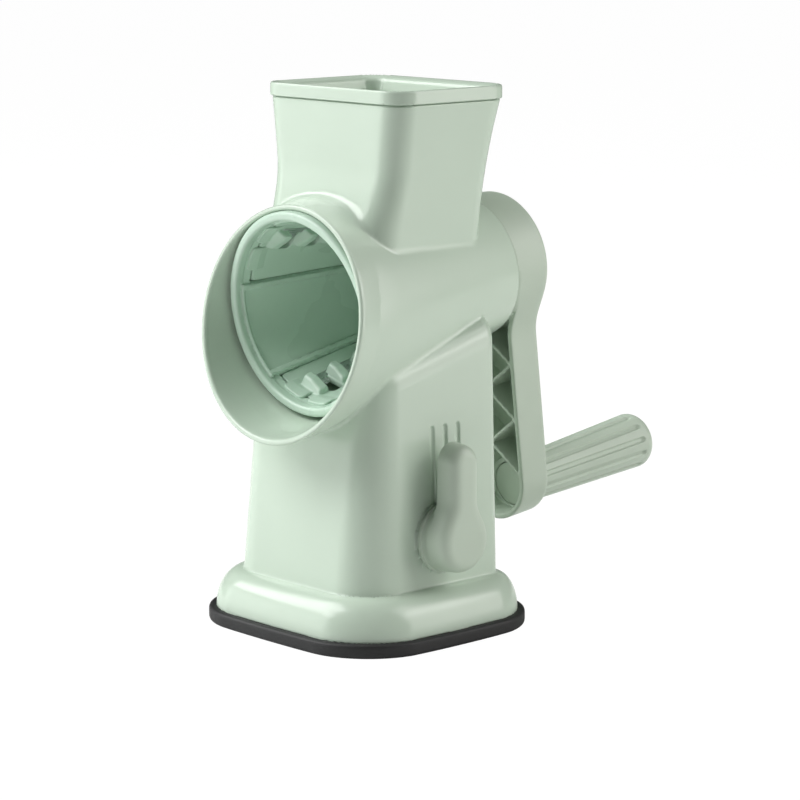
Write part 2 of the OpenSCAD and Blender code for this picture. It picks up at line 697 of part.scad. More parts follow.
// Grip: fluted sleeve with a blind bore that turns on the axle
barb_share = 1.2;
barb_r = barb_share * axle_r;
barb_len = axle_r;
barb_gap = 2 * gap;
axle_len_share = 0.8;
axle_end_s = grip_front_s + axle_len_share * grip_len;
widest_share = 0.91;
dome_start = widest_share * grip_len;
grip_angle = atan((grip_r - grip_root_r) / dome_start);
flute_start_share = 0.02;
flute_end_share = 0.87;
dome_steps = 8;
dome_len = grip_len - dome_start;
module grip() color(mint) on_axis() translate([0, grip_reach, grip_front_s]) difference() {
    rotate_extrude() polygon(concat(
        [[0, 0], [grip_root_r, 0]],
        [for (i = [0:dome_steps]) let (a = 90 * i / dome_steps)
            [grip_r * cos(a), dome_start + dome_len * sin(a)]]));
    for (i = [0:flute_count - 1]) rotate([0, 0, (i + 0.5) * 360 / flute_count])
        translate([grip_root_r + flute_r / 3, 0, 0]) rotate([0, grip_angle, 0]) {
            translate([0, 0, flute_start_share * grip_len])
                cylinder(r = flute_r, h = (flute_end_share - flute_start_share) * grip_len, $fn = 24);
            translate([0, 0, flute_end_share * grip_len]) sphere(r = flute_r, $fn = 24);
        }
    translate([0, 0, -over])
        cylinder(r = axle_r + shaft_play, h = axle_end_s - grip_front_s + barb_gap + over);
    translate([0, 0, axle_end_s - grip_front_s - barb_len - barb_gap])
        cylinder(r = barb_r + barb_gap, h = barb_len + 2 * barb_gap);
}
module grip_axle() color(mint) on_axis() translate([0, grip_reach, 0]) {
    translate([0, 0, axle_head_s]) cylinder(r = axle_head_r, h = axle_head_t);
    translate([0, 0, axle_head_s]) cylinder(r = axle_r, h = axle_end_s - axle_head_s);
    translate([0, 0, axle_end_s - barb_len]) cylinder(r = barb_r, h = barb_len);
}

// Suction lever, its shaft and the lifting cam
flange_x = lever_pad_x + gap;
flange_t = 1.6;
lever_back_x = lever_face_x - lever_arm_t;
socket_depth_share = 0.6;
lever_socket_x = lever_face_x - lever_arm_t * (1 - socket_depth_share);
square_share = 1.36;
shaft_square = square_share * lever_shaft_r;
tail_r = shaft_square / 2 - gap;
cradle_t = 6;
cradle_x = -cam_w - cradle_t;
shaft_end_x = cradle_x - gap;
cam_screw_r = 1.7;
cam_head_r = lever_shaft_r;
cam_head_t = 2;
module suction_lever() color(mint) on_lever_axis() difference() {
    union() {
        translate([0, 0, flange_x]) cylinder(r = lever_flange_r, h = flange_t);
        translate([0, 0, flange_x]) cylinder(r = lever_hub_r, h = lever_back_x - flange_x + over);
        translate([0, 0, lever_back_x]) linear_extrude(lever_arm_t)
            paddle(lever_hub_r, lever_half_w, lever_reach, lever_fillet_r);
    }
    translate([0, 0, flange_x - over]) linear_extrude(lever_socket_x - flange_x + over)
        square(shaft_square, center = true);
}
module lever_shaft() color(steel) on_lever_axis() difference() {
    union() {
        translate([0, 0, flange_x]) linear_extrude(lever_socket_x - flange_x)
            square(shaft_square, center = true);
        translate([0, 0, cam_w / 2]) cylinder(r = lever_shaft_r, h = flange_x - cam_w / 2);
        translate([0, 0, -cam_w / 2]) linear_extrude(cam_w) square(shaft_square, center = true);
        translate([0, 0, shaft_end_x]) cylinder(r = tail_r, h = -cam_w / 2 - shaft_end_x + over);
    }
    translate([0, 0, shaft_end_x - over]) cylinder(r = cam_screw_r, h = cam_w + over);
}
module lever_bush() color(nylon) on_lever_axis() difference() {
    union() {
        translate([0, 0, lever_pad_x - bush_t]) cylinder(r = lever_bush_r + bush_t, h = bush_t);
        translate([0, 0, lever_boss_x]) cylinder(r = lever_bush_r, h = lever_pad_x - lever_boss_x);
    }
    cylinder(r = lever_shaft_r + shaft_play, h = reach_all);
}
module lift_cam() color(nylon) on_lever_axis() translate([0, 0, -cam_w / 2]) linear_extrude(cam_w)
    difference() {
        translate([lift, 0]) circle(r = cam_r + lift);
        square(shaft_square, center = true);
    }
module cam_screw() color(steel) on_lever_axis() {
    translate([0, 0, shaft_end_x - cam_head_t]) cylinder(r = cam_head_r, h = cam_head_t);
    translate([0, 0, shaft_end_x]) cylinder(r = cam_screw_r, h = cam_w);
}

// Lifting stem: a yoke round the cam on a rod that stands on the foot insert
insert_top_z = pad_t + insert_t;
yoke_t = 4;
yoke_half_y = cam_r + 2 * lift + gap;
cam_top_gap = lift / 4 + gap;
yoke_low_z = lever_z - cam_r - lift - gap;
yoke_high_z = lever_z + cam_r + lift + cam_top_gap;
stem_r = 5;
module lift_stem() color(nylon) translate([0, lever_y, 0]) {
    difference() {
        translate([-cam_w / 2 + gap, -yoke_half_y - yoke_t, yoke_low_z - yoke_t])
            cube([cam_w - 2 * gap, 2 * (yoke_half_y + yoke_t), yoke_high_z - yoke_low_z + 2 * yoke_t]);
        translate([-cam_w, -yoke_half_y, yoke_low_z])
            cube([2 * cam_w, 2 * yoke_half_y, yoke_high_z - yoke_low_z]);
    }
    translate([0, 0, insert_top_z]) cylinder(r = stem_r - gap, h = yoke_low_z - yoke_t - insert_top_z);
}
module foot_insert() color(steel) translate([0, lever_y, pad_t]) cylinder(r = insert_r, h = insert_t);

// Base plate: closes the skirt, carries the cradle and leaves room for the insert to rise
pocket_r = insert_r + 2 * gap;
pocket_top_z = insert_top_z + lift + gap;
dome_r = pocket_r + wall;
dome_top_z = pocket_top_z + plate_t;
cradle_top_z = lever_z + shaft_square / 2 + wall;
cradle_half_y = shaft_square;
module base_plate() color(nylon) difference() {
    union() {
        translate([0, 0, pad_t]) linear_extrude(foot_h - pad_t) polygon(foot_plan(band_t));
        translate([0, lever_y, foot_h - over]) cylinder(r = dome_r, h = dome_top_z - foot_h + over);
        translate([cradle_x, lever_y - cradle_half_y, foot_h])
            cube([cradle_t, 2 * cradle_half_y, cradle_top_z - foot_h]);
    }
    translate([0, lever_y, pad_t - over]) cylinder(r = pocket_r, h = pocket_top_z - pad_t + over);
    translate([0, lever_y, 0]) cylinder(r = stem_r, h = reach_all);
    on_lever_axis() translate([0, 0, -reach_all / 2]) cylinder(r = tail_r + shaft_play, h = reach_all / 2);
    screw_places() {
        cylinder(r = base_screw_r, h = reach_all);
        cylinder(r = base_head_r, h = pad_t + base_head_h);
    }
}
module base_screws() color(steel) screw_places() {
    translate([0, 0, pad_t]) cylinder(r = base_head_r, h = base_head_h);
    translate([0, 0, pad_t]) cylinder(r = base_screw_r, h = base_screw_len);
}
module suction_foot() color(rubber) difference() {
    linear_extrude(foot_h) polygon(foot_plan(0));
    translate([0, 0, pad_t]) linear_extrude(foot_h) polygon(foot_plan(band_t));
}

housing();
rear_bush();
pusher();
drum_frame();
cutting_insert(0);  // cutting_insert_1
cutting_insert(1);  // cutting_insert_2
cutting_insert(2);  // cutting_insert_3
blade_strip(0);  // blade_strip_1
blade_strip(1);  // blade_strip_2
blade_strip(2);  // blade_strip_3
drive_shaft();
drive_screw();
hub_cap();
crank_arm();
grip_axle();
grip();
suction_lever();
lever_shaft();
lever_bush();
lift_cam();
cam_screw();
lift_stem();
foot_insert();
base_plate();
base_screws();
suction_foot();
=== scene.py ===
from math import atan, cos, pi, radians, sin

import bpy
import numpy as np
import openvdb
from mathutils import Matrix, Vector


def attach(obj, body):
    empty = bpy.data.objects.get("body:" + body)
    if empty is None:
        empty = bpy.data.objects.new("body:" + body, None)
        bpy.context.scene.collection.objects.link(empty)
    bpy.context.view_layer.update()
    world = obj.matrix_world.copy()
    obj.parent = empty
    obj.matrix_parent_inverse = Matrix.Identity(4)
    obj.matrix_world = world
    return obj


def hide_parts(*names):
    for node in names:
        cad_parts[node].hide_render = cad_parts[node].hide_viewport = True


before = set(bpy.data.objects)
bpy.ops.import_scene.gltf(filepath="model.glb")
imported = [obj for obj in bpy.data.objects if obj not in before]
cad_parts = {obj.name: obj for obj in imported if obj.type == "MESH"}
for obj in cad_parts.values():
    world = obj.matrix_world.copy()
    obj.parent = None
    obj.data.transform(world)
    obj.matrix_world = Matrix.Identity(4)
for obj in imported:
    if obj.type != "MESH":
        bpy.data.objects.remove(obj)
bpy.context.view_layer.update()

# Studio
# The machine stands on a white table before a white wall, as in a shop's picture. A long lens looks down
# on it by ten degrees from between the mouth and the lever. Places here are in metres.
view_turn, view_down, view_away = radians(47.21), radians(10.21), 1.2609
focal_pixels, picture_pixels, sensor_mm = 2970.1, 800, 36
aim_height, aim_right, aim_up = 0.115, 0.01443, -0.01902
lens_back = Vector((sin(view_turn) * cos(view_down), -cos(view_turn) * cos(view_down), sin(view_down)))
lens_right = Vector((cos(view_turn), sin(view_turn), 0))
lens_up = lens_back.cross(lens_right)
camera = bpy.data.objects.new("camera", bpy.data.cameras.new("camera"))
bpy.context.scene.collection.objects.link(camera)
camera.data.sensor_width = sensor_mm
camera.data.lens = sensor_mm * focal_pixels / picture_pixels
camera.data.clip_end = 20
aim = Vector((0, 0, aim_height)) + lens_right * aim_right + lens_up * aim_up
camera.matrix_world = Matrix.Translation(aim + lens_back * view_away) @ Matrix(
    (lens_right, lens_up, lens_back)).transposed().to_4x4()
bpy.context.scene.camera = camera

world = bpy.data.worlds.new("white room")
bpy.context.scene.world = world
world.use_nodes = True
wires, sockets = world.node_tree.links, world.node_tree.nodes
sockets.clear()
path = sockets.new("ShaderNodeLightPath")
seen = sockets.new("ShaderNodeMath")
seen.operation = "MAXIMUM"
wires.new(path.outputs["Is Camera Ray"], seen.inputs[0])
wires.new(path.outputs["Is Transmission Ray"], seen.inputs[1])
dim, bright = sockets.new("ShaderNodeBackground"), sockets.new("ShaderNodeBackground")
dim.inputs["Color"].default_value = (0.96, 0.955, 0.93, 1)
dim.inputs["Strength"].default_value = 0.03
bright.inputs["Color"].default_value = (1, 1, 1, 1)
bright.inputs["Strength"].default_value = 1.0
choose, out = sockets.new("ShaderNodeMixShader"), sockets.new("ShaderNodeOutputWorld")
wires.new(seen.outputs[0], choose.inputs[0])
wires.new(dim.outputs[0], choose.inputs[1])
wires.new(bright.outputs[0], choose.inputs[2])
wires.new(choose.outputs[0], out.inputs[0])


machine_middle = Vector((0, 0, 0.12))


def soft_box(name, place, wide, high, watts, tint=(1, 1, 1)):
    """A rectangular lamp at place, facing the machine's middle."""
    lamp = bpy.data.objects.new(name, bpy.data.lights.new(name, "AREA"))
    lamp.data.shape = "RECTANGLE"
    lamp.data.size, lamp.data.size_y, lamp.data.energy = wide, high, watts
    lamp.data.color = tint
    lamp.location = place
    lamp.rotation_euler = (machine_middle - Vector(place)).to_track_quat("-Z", "Y").to_euler()
    bpy.context.scene.collection.objects.link(lamp)


soft_box("window lamp", (-0.9, -0.85, 1.3), 1.4, 1.2, 36)
soft_box("low lamp", (-1.2, -1.1, 0.35), 1.6, 0.7, 7)
soft_box("rear lamp", (0.95, 0.90, 0.50), 0.7, 1.0, 7, (1, 0.97, 0.95))
soft_box("high rear lamp", (1.0, 0.8, 1.2), 1.0, 1.0, 9, (1, 1, 0.98))

half = 12.0
corners = [(-half, -half, 0), (half, -half, 0), (half, half, 0), (-half, half, 0)]
table_mesh = bpy.data.meshes.new("table top")
table_mesh.from_pydata(corners, [], [(0, 1, 2, 3)])
table_top = bpy.data.objects.new("table_top", table_mesh)
bpy.context.scene.collection.objects.link(table_top)
white = bpy.data.materials.new("white table")
white.use_nodes = True
wires, sockets = white.node_tree.links, white.node_tree.nodes
matt = sockets["Principled BSDF"]
matt.inputs["Base Color"].default_value = (0.92, 0.93, 0.92, 1)
matt.inputs["Roughness"].default_value = 0.7
table_path, table_choose = sockets.new("ShaderNodeLightPath"), sockets.new("ShaderNodeMixShader")
table_glow, table_out = sockets.new("ShaderNodeEmission"), sockets["Material Output"]
table_mix = sockets.new("ShaderNodeMixShader")
table_mix.inputs[0].default_value = 0.94
table_glow.inputs["Strength"].default_value = 1.05
wires.new(table_path.outputs["Is Camera Ray"], table_choose.inputs[0])
wires.new(matt.outputs[0], table_choose.inputs[1])
wires.new(matt.outputs[0], table_mix.inputs[1])
wires.new(table_glow.outputs[0], table_mix.inputs[2])
wires.new(table_mix.outputs[0], table_choose.inputs[2])
wires.new(table_choose.outputs[0], table_out.inputs["Surface"])
table_mesh.materials.append(white)
bpy.context.scene.view_settings.view_transform = "Standard"

# Housing
# One glossy moulding in pale green plastic: a flared skirt, a tapering column, a conical drum tube that
# leans down towards its mouth, and a square hopper. Its walls run into each other with small fillets, and
# three grooves stand beside the lever. Sizes are in millimetres, s is the place along the drum's axis, and
# each field or side gives the distance to a form, below zero inside it. The last number in a soft_min or
# soft_max is the width of the round between two forms.
axis_z, tilt, wall = 140.6, radians(6.9), 2.4


def soft_min(a, b, k):
    """The lower of two distances, rounded off over a band of width k where they are alike."""
    h = np.maximum(k - np.abs(a - b), 0) / k
    return np.minimum(a, b) - h * h * k / 4


def soft_max(a, b, k):
    """The higher of two distances, rounded off over a band of width k."""
    return -soft_min(-a, -b, k)


def mix(a, b, t):
    return a + (b - a) * t


def rise(value, start, length):
    """From 0 at start to 1 at a length past it."""
    return np.clip((value - start) / length, 0, 1)


def smooth(t):
    """Eases a share from 0 to 1 at both ends."""
    return t * t * (3 - 2 * t)


def round_box(x, y, half_x, half_y, r):
    """Distance to a rectangle with round corners of radius r."""
    qx, qy = np.abs(x) - (half_x - r), np.abs(y) - (half_y - r)
    return np.hypot(np.maximum(qx, 0), np.maximum(qy, 0)) + np.minimum(np.maximum(qx, qy), 0) - r


def bowed_box(x, y, half_x, half_y, r, bow):
    """Distance to a rectangle with round corners, whose sides stand out by bow in their middles."""
    bow_x = bow * (1 - np.clip(y / half_y, -1, 1) ** 2)
    bow_y = bow * (1 - np.clip(x / half_x, -1, 1) ** 2)
    return round_box(x, y, half_x + bow_x, half_y + bow_y, r)


def disc(r, radius, s, low, high):
    """Distance to a cylinder between two places along its axis."""
    return np.maximum(np.maximum(r - radius, low - s), s - high)


def along_axis(y, z):
    """Turns Y and Z into the place along the drum's axis and the height above it."""
    return y * cos(tilt) + (z - axis_z) * sin(tilt), -y * sin(tilt) + (z - axis_z) * cos(tilt)


collar_r, collar_s, tube_rear_s, tube_rear_r, collar_rate = 48.51, -38.0, 61.4, 30.9, 0.085
tube_rate = (collar_r - tube_rear_r) / (tube_rear_s - collar_s)


def tube_cone(s):
    return collar_r - tube_rate * (s - collar_s)


def tube_radius(s):
    """Outer radius of the tube: a cone that opens less in the mouth's collar."""
    return soft_min(tube_cone(s), collar_r - collar_rate * (s - collar_s), 1.6)


hopper_low, hopper_h, hopper_top = 149.6, 74.4, 224.0
hopper_front, hopper_rear, hopper_half_w, hopper_r = -20.8, 43.8, 42.4, 11
neck_front_half_w, neck_rear_half_w, neck_front_r, neck_rear_r = 37.7, 25.5, 18, 9
rear_hollow, front_flare = 15.2, 8.0


def hopper_side(x, y, z, flare=front_flare):
    """Distance to the hopper's outside, a rounded rectangle that widens upwards; its front flares onto
    the tube."""
    u = rise(z, hopper_low, hopper_h)
    front = hopper_front - flare * smooth(rise(-u, -0.65, 0.45))
    rear = hopper_rear - rear_hollow * u * (1 - u)
    across = np.clip((y - front) / (rear - front), 0, 1)
    front_half_w = mix(neck_front_half_w, hopper_half_w, u ** 2.2)
    rear_half_w = mix(neck_rear_half_w, hopper_half_w, u ** 0.8)
    front_r, rear_r = mix(neck_front_r, hopper_r, rise(u, 0, 0.6)), mix(neck_rear_r, hopper_r, u)
    r = mix(front_r, rear_r, rise(across, 0.25, 0.5))
    return round_box(x, y - (front + rear) / 2, mix(front_half_w, rear_half_w, across), (rear - front) / 2, r)


column_half_w, column_front, column_rear, column_h = 45, -41.5, 37.2, 110.5
column_front_r, column_top_r, column_rear_r = 20, 12, 6.0
column_narrowing, column_front_lean, column_rear_lean = 5, 12, 1.6
column_middle, column_half_l = (column_front + column_rear) / 2, (column_rear - column_front) / 2
skirt_top, foot_top, skirt_half_w, skirt_half_l, skirt_r, side_bow = 22.5, 5.9, 54.6, 50.9, 25.8, 3
shoulder_y, shoulder_z, shoulder_rate, shoulder_half_w = 41.5, 133.0, 0.249, 34


def column_side(x, y, z):
    """Distance to the column's sides, a rectangle that narrows upwards, with large round corners in front."""
    up = rise(z, skirt_top, column_h)
    front, rear = column_front + column_front_lean * up, column_rear + column_rear_lean * up
    r = np.where(y > 0, column_rear_r, mix(column_front_r, column_top_r, up))
    return round_box(x, y - (front + rear) / 2, column_half_w - column_narrowing * up, (rear - front) / 2, r)


def skirt_side(x, y, z):
    """Distance to the skirt: the column's outline grows to the foot's along a quarter round."""
    out = np.sqrt(1 - rise(z, foot_top, skirt_top - foot_top) ** 2)
    half_w, half_l = mix(column_half_w, skirt_half_w, out), mix(column_half_l, skirt_half_l, out)
    r = mix(np.where(y > 0, column_rear_r, column_front_r), skirt_r, out)
    return bowed_box(x, y - column_middle * (1 - out), half_w, half_l, r, side_bow * out)


mouth_y, mouth_z, mouth_lean = -48.15, 134.77, radians(9.6)
oval_sides, oval_top, oval_bottom = 0.9, 1.6, 0.9


def past_mouth(y, z):
    """Distance past the slanting plane that cuts the mouth."""
    return (z - mouth_z) * sin(mouth_lean) - (y - mouth_y) * cos(mouth_lean)


rear_wall_s, journal_boss_r, journal_boss_front, journal_boss_rear = 57.7, 12.98, 58.0, 64.7
journal_bore_r, journal_bore_front, housing_low = 10.58, 50, 5.2
lever_y, lever_z, lever_pad_x, lever_pad_back, lever_pad_r = 2.5, 43.3, 44.94, 42.9, 15.0
lever_boss_r, lever_boss_back, lever_bore_r, lever_bore_back = 8.98, 35.1, 6.58, 30
lever_recess_r, lever_recess_depth = 8.28, 1.5
post_x, post_y, post_r, post_top, post_bore_r, post_bore_top = 34.5, 31.0, 4.4, 30.5, 1.7, 18.0
groove_x, groove_y, groove_low, groove_h, groove_lean = 44.16, 6.4, 50, 39, 1.77
groove_pitch, groove_r = 7.3, 1.35
neck_round, tube_round, neck_low, neck_front = 6.0, 1.2, 172, 20
# These bring a slanting form's slope back to about one, so that its distances stay true
cone_share, brow_share, crown_share = 0.985, 0.75, 0.95


def housing_field(x, y, z):
    """Distance to the housing: the outer forms joined softly, less the hollows behind their walls."""
    s, w = along_axis(y, z)
    r = np.hypot(x, w)
    lip = np.clip(past_mouth(y, z) / 10 + 1.2, 0, 1)
    oval = lip * (oval_sides * x * x - np.where(w > 0, oval_top, oval_bottom) * w * w) / np.maximum(r * r, 1)
    cone = (r - tube_radius(s) - oval) * cone_share
    hop, col, skirt = hopper_side(x, y, z), column_side(x, y, z), skirt_side(x, y, z)
    slant = shoulder_z + shoulder_rate * (y - shoulder_y)
    brow = (z - slant + 0.7 * np.maximum(np.abs(x) - shoulder_half_w, 0)) * brow_share
    tube = soft_max(cone, s - tube_rear_s, 1.6)
    neck = rise(z, neck_low, 10) * rise(-y, neck_front, 8)
    outer = soft_min(tube, np.maximum(hop, hopper_low - z), tube_round + neck_round * neck)
    column = soft_min(soft_max(col, brow, 5.0), np.maximum(skirt, z - skirt_top), 1.0)
    outer = soft_min(outer, column, 1.6)
    hollow = soft_min(np.maximum(cone + wall, s - rear_wall_s), np.maximum(hop + wall, hopper_low - z), 1.0)
    inside_column = np.minimum(np.maximum(col, brow), np.maximum(skirt, z - skirt_top)) + wall
    hollow = np.minimum(hollow, np.maximum(inside_column, -cone))
    body = soft_max(np.maximum(outer, -hollow), past_mouth(y, z), 1.2)
    body = soft_max(np.maximum(body, housing_low - z), z - hopper_top, 0.6)
    boss = disc(r, journal_boss_r, s, journal_boss_front, journal_boss_rear)
    lever_r = np.hypot(y - lever_y, z - lever_z)
    pad = np.minimum(disc(lever_r, lever_boss_r, x, lever_boss_back, lever_pad_x),
                     disc(lever_r, lever_pad_r, x, lever_pad_back, lever_pad_x))
    from_post = np.hypot(np.abs(x) - post_x, np.abs(y) - post_y)
    posts = disc(from_post, post_r, z, foot_top, post_top)
    body = np.minimum(np.minimum(body, soft_min(boss, pad, 0.1)), posts)
    holes = np.minimum(np.maximum(r - journal_bore_r, journal_bore_front - s),
                       np.maximum(lever_r - lever_bore_r, lever_bore_back - x))
    recess = np.maximum(lever_r - lever_recess_r, lever_pad_x - lever_recess_depth - x)
    holes = np.minimum(np.minimum(holes, recess), np.maximum(from_post - post_bore_r, z - post_bore_top))
    body = np.maximum(body, -holes)
    for groove in (-groove_pitch, 0, groove_pitch):
        up = rise(z, groove_low, groove_h)
        from_line = ((x - groove_x + groove_lean * up) ** 2 + (y - groove_y - groove) ** 2
                     + (z - groove_low - groove_h * up) ** 2)
        body = soft_max(body, groove_r - np.sqrt(from_line), 0.4)
    return body


def slope(field, p, step):
    """How fast the distance grows along each axis, from values a small step to each side."""
    g = np.empty_like(p)
    for k in range(3):
        ahead, behind = p.copy(), p.copy()
        ahead[:, k] += step
        behind[:, k] -= step
        g[:, k] = (field(*ahead.T) - field(*behind.T)) / (2 * step)
    return g


def settle(field, p, cell):
    """Moves points onto the surface along the slope, by at most half a cell each time."""
    for _ in range(5):
        g = slope(field, p, 0.02)
        move = g * (field(*p.T) / np.maximum((g * g).sum(1), 0.05))[:, None]
        size = np.linalg.norm(move, axis=1, keepdims=True)
        p = p - move * np.minimum(1, 0.5 * cell / np.maximum(size, 1e-9))
    return p


def put_in_mesh(name, points, faces, normals=None):
    """Makes an object from points in millimetres and faces of three or four corners."""
    mesh = bpy.data.meshes.new(name)
    loops = np.concatenate([f.ravel() for f in faces]).astype(np.int32)
    sizes = np.concatenate([np.full(len(f), f.shape[1]) for f in faces])
    mesh.vertices.add(len(points))
    mesh.vertices.foreach_set("co", (points / 1000).astype(np.float32).ravel())
    mesh.loops.add(len(loops))
    mesh.loops.foreach_set("vertex_index", loops)
    mesh.polygons.add(len(sizes))
    starts = np.concatenate([[0], np.cumsum(sizes)[:-1]])
    mesh.polygons.foreach_set("loop_start", starts.astype(np.int32))
    mesh.polygons.foreach_set("use_smooth", np.ones(len(sizes), bool))
    mesh.update(calc_edges=True)
    mesh.validate()
    if normals is not None:
        mesh.normals_split_custom_set_from_vertices(normals)
    piece = bpy.data.objects.new(name, mesh)
    bpy.context.scene.collection.objects.link(piece)
    return piece


def skin_of(name, field, low, high, cell, place=None, shade=None):
    """The surface where field is zero, from a grid between low and high. The points are settled on it and take
    the slope of field, or of shade, as normals. place turns them into the machine's frame."""
    low, high = np.array(low, float), np.array(high, float)
    count = np.ceil((high - low) / cell).astype(int) + 1
    axes = [low[k] + cell * np.arange(count[k]) for k in range(3)]
    x, y, z = np.meshgrid(*axes, indexing="ij", sparse=True)
    values = field(x, y, z) + np.zeros(count)
    grid = openvdb.FloatGrid(3 * cell)
    grid.copyFromArray(np.clip(values, -3 * cell, 3 * cell).astype(np.float32))
    points, triangles, quads = grid.convertToPolygons(0.0, 0.0)
    p = settle(field, low + points.astype(float) * cell, cell)
    n = slope(shade or field, p, 0.05)
    n /= np.maximum(np.linalg.norm(n, axis=1, keepdims=True), 1e-9)
    quads = quads.astype(int)
    a, b, d = p[quads[:, 0]], p[quads[:, 1]], p[quads[:, 3]]
    if (np.cross(b - a, d - a) * n[quads[:, 0]]).sum() < 0:
        quads = quads[:, ::-1]
    if place is not None:
        n = place(n) - place(np.zeros((1, 3)))
        p = place(p)
    faces = [quads] if not len(triangles) else [quads, triangles.astype(int)]
    return put_in_mesh(name, p, faces, n)


def new_group(name, inputs, outputs):
    """A node group with named sockets: each is (kind, name, value)."""
    group = bpy.data.node_groups.new(name, "ShaderNodeTree")
    for kind, label, value in inputs:
        socket = group.interface.new_socket(label, in_out="INPUT", socket_type="NodeSocket" + kind)
        socket.default_value = value
    for kind, label in outputs:
        group.interface.new_socket(label, in_out="OUTPUT", socket_type="NodeSocket" + kind)
    return group, group.nodes.new("NodeGroupInput"), group.nodes.new("NodeGroupOutput")


# A moulding's surface: a faint cloudiness in the colour, and gloss that varies where the tool was polished
skin, given, made = new_group("moulded surface", [
    ("Color", "Colour", (0.5, 0.5, 0.5, 1)), ("Float", "Roughness", 0.3), ("Float", "Cloud", 0.04),
    ("Float", "Pebble", 0.1), ("Float", "Pebble scale", 900.0)],
    [("Color", "Colour"), ("Float", "Roughness"), ("Vector", "Normal")])
link, node = skin.links.new, skin.nodes.new
where_at = node("ShaderNodeTexCoord")
cloud = node("ShaderNodeTexNoise")
cloud.inputs["Scale"].default_value = 22
cloud.inputs["Detail"].default_value = 3
link(where_at.outputs["Object"], cloud.inputs["Vector"])
spread = node("ShaderNodeMapRange")
spread.inputs["From Min"].default_value, spread.inputs["From Max"].default_value = 0.3, 0.7
link(cloud.outputs["Fac"], spread.inputs["Value"])
darker = node("ShaderNodeMath")
darker.operation = "MULTIPLY"
link(spread.outputs[0], darker.inputs[0])
link(given.outputs["Cloud"], darker.inputs[1])
shade = node("ShaderNodeMix")
shade.data_type = "RGBA"
shade.blend_type = "MULTIPLY"
shade.inputs["B"].default_value = (0.55, 0.6, 0.57, 1)
link(darker.outputs[0], shade.inputs["Factor"])
link(given.outputs["Colour"], shade.inputs["A"])
link(shade.outputs["Result"], made.inputs["Colour"])
fine = node("ShaderNodeTexNoise")
fine.inputs["Detail"].default_value = 2
link(where_at.outputs["Object"], fine.inputs["Vector"])
link(given.outputs["Pebble scale"], fine.inputs["Scale"])
duller = node("ShaderNodeMath")
duller.operation = "MULTIPLY_ADD"
duller.inputs[1].default_value = 0.08
link(spread.outputs[0], duller.inputs[0])
link(given.outputs["Roughness"], duller.inputs[2])
link(duller.outputs[0], made.inputs["Roughness"])
bump = node("ShaderNodeBump")
bump.inputs["Distance"].default_value = 0.0002
link(given.outputs["Pebble"], bump.inputs["Strength"])
link(fine.outputs["Fac"], bump.inputs["Height"])
link(bump.outputs[0], made.inputs["Normal"])


def moulded(name, colour, roughness, cloud_share, pebble, pebble_scale):
    """A plastic or rubber whose surface comes from the moulded group."""
    material = bpy.data.materials.new(name)
    material.use_nodes = True
    shader = material.node_tree.nodes["Principled BSDF"]
    surface = material.node_tree.nodes.new("ShaderNodeGroup")
    surface.node_tree = skin
    for socket, value in (("Colour", (*colour, 1)), ("Roughness", roughness), ("Cloud", cloud_share),
                          ("Pebble", pebble), ("Pebble scale", pebble_scale)):
        surface.inputs[socket].default_value = value
    for source, target in (("Colour", "Base Color"), ("Roughness", "Roughness"), ("Normal", "Normal")):
        material.node_tree.links.new(surface.outputs[source], shader.inputs[target])
    return material


glossy_green = moulded("glossy pale green", (0.56, 0.67, 0.56), 0.17, 0.05, 0.04, 420)


def dress(piece, material, body, slot, *nodes):
    """Gives a new piece its material and the body it rides on, and hides the nodes it stands for. The slot
    argument is not used.
    """
    piece.data.materials.clear()
    piece.data.materials.append(material)
    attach(piece, body)
    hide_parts(*nodes)


def mouth_zone(x, y, z):
    """Below zero near the mouth's rim, whose small round needs a finer grid."""
    return -12 - past_mouth(y, z)


def groove_zone(x, y, z):
    """Below zero round the grooves beside the lever."""
    return np.maximum(np.maximum(np.abs(y - 6) - 12, np.abs(z - 73) - 25), 36 - x)


def skirt_zone(x, y, z):
    """Below zero round the sharp line between skirt and column."""
    return np.abs(z - skirt_top) - 4


def neck_zone(x, y, z):
    """Below zero round the line where the hopper stands on the tube."""
    return np.maximum(np.maximum(np.abs(z - 168) - 19, np.abs(x) - 50), -24 - y)


def part_of_housing(zone):
    """The housing inside a zone. The parts overlap by a few millimetres, where each sinks a hair under the
    next."""
    def field(x, y, z):
        away = zone(x, y, z)
        return np.maximum(housing_field(x, y, z) + 0.03 * np.clip(0.5 + away / 4, 0, 1), away - 2)
    return field


def rest_zone(x, y, z):
    """Below zero wherever no other zone is."""
    return -np.minimum(np.minimum(mouth_zone(x, y, z), groove_zone(x, y, z)),
                       np.minimum(skirt_zone(x, y, z), neck_zone(x, y, z)))


# Each skin's name, zone, the two corners of its grid and the grid's cell
for name, zone, low, high, cell in (
        ("mouth_skin", mouth_zone, (-53, -61, 80), (53, -22, 189), 0.7),
        ("groove_skin", groove_zone, (32.2, -9, 44), (49, 21, 101), 0.45),
        ("skirt_line_skin", skirt_zone, (-57, -54, 15), (57, 54, 30), 0.8),
        ("neck_skin", neck_zone, (-50, -27, 146), (50, 66, 190), 0.9),
        ("housing_skin", rest_zone, (-63, -62.3, 3.1), (63, 70, 227), 1.37)):
    part = skin_of(name, part_of_housing(zone), low, high, cell, shade=housing_field)
    dress(part, glossy_green, "base", "mint_gloss", "housing")

# Pusher
# A thin-walled cup in the same plastic, which hangs in the hopper from a rim. The rim closes the hopper's
# top edge with a fine seam all round.
rim_y, rim_half_w, rim_half_l, rim_front_r, rim_rear_r = 11.5, 43.2, 33.1, 11.4, 12.0
rim_low, rim_top, rim_wide, cup_low, cup_gap, cup_wall = 224.05, 230.0, 4.4, 189.0, 3.2, 2.0


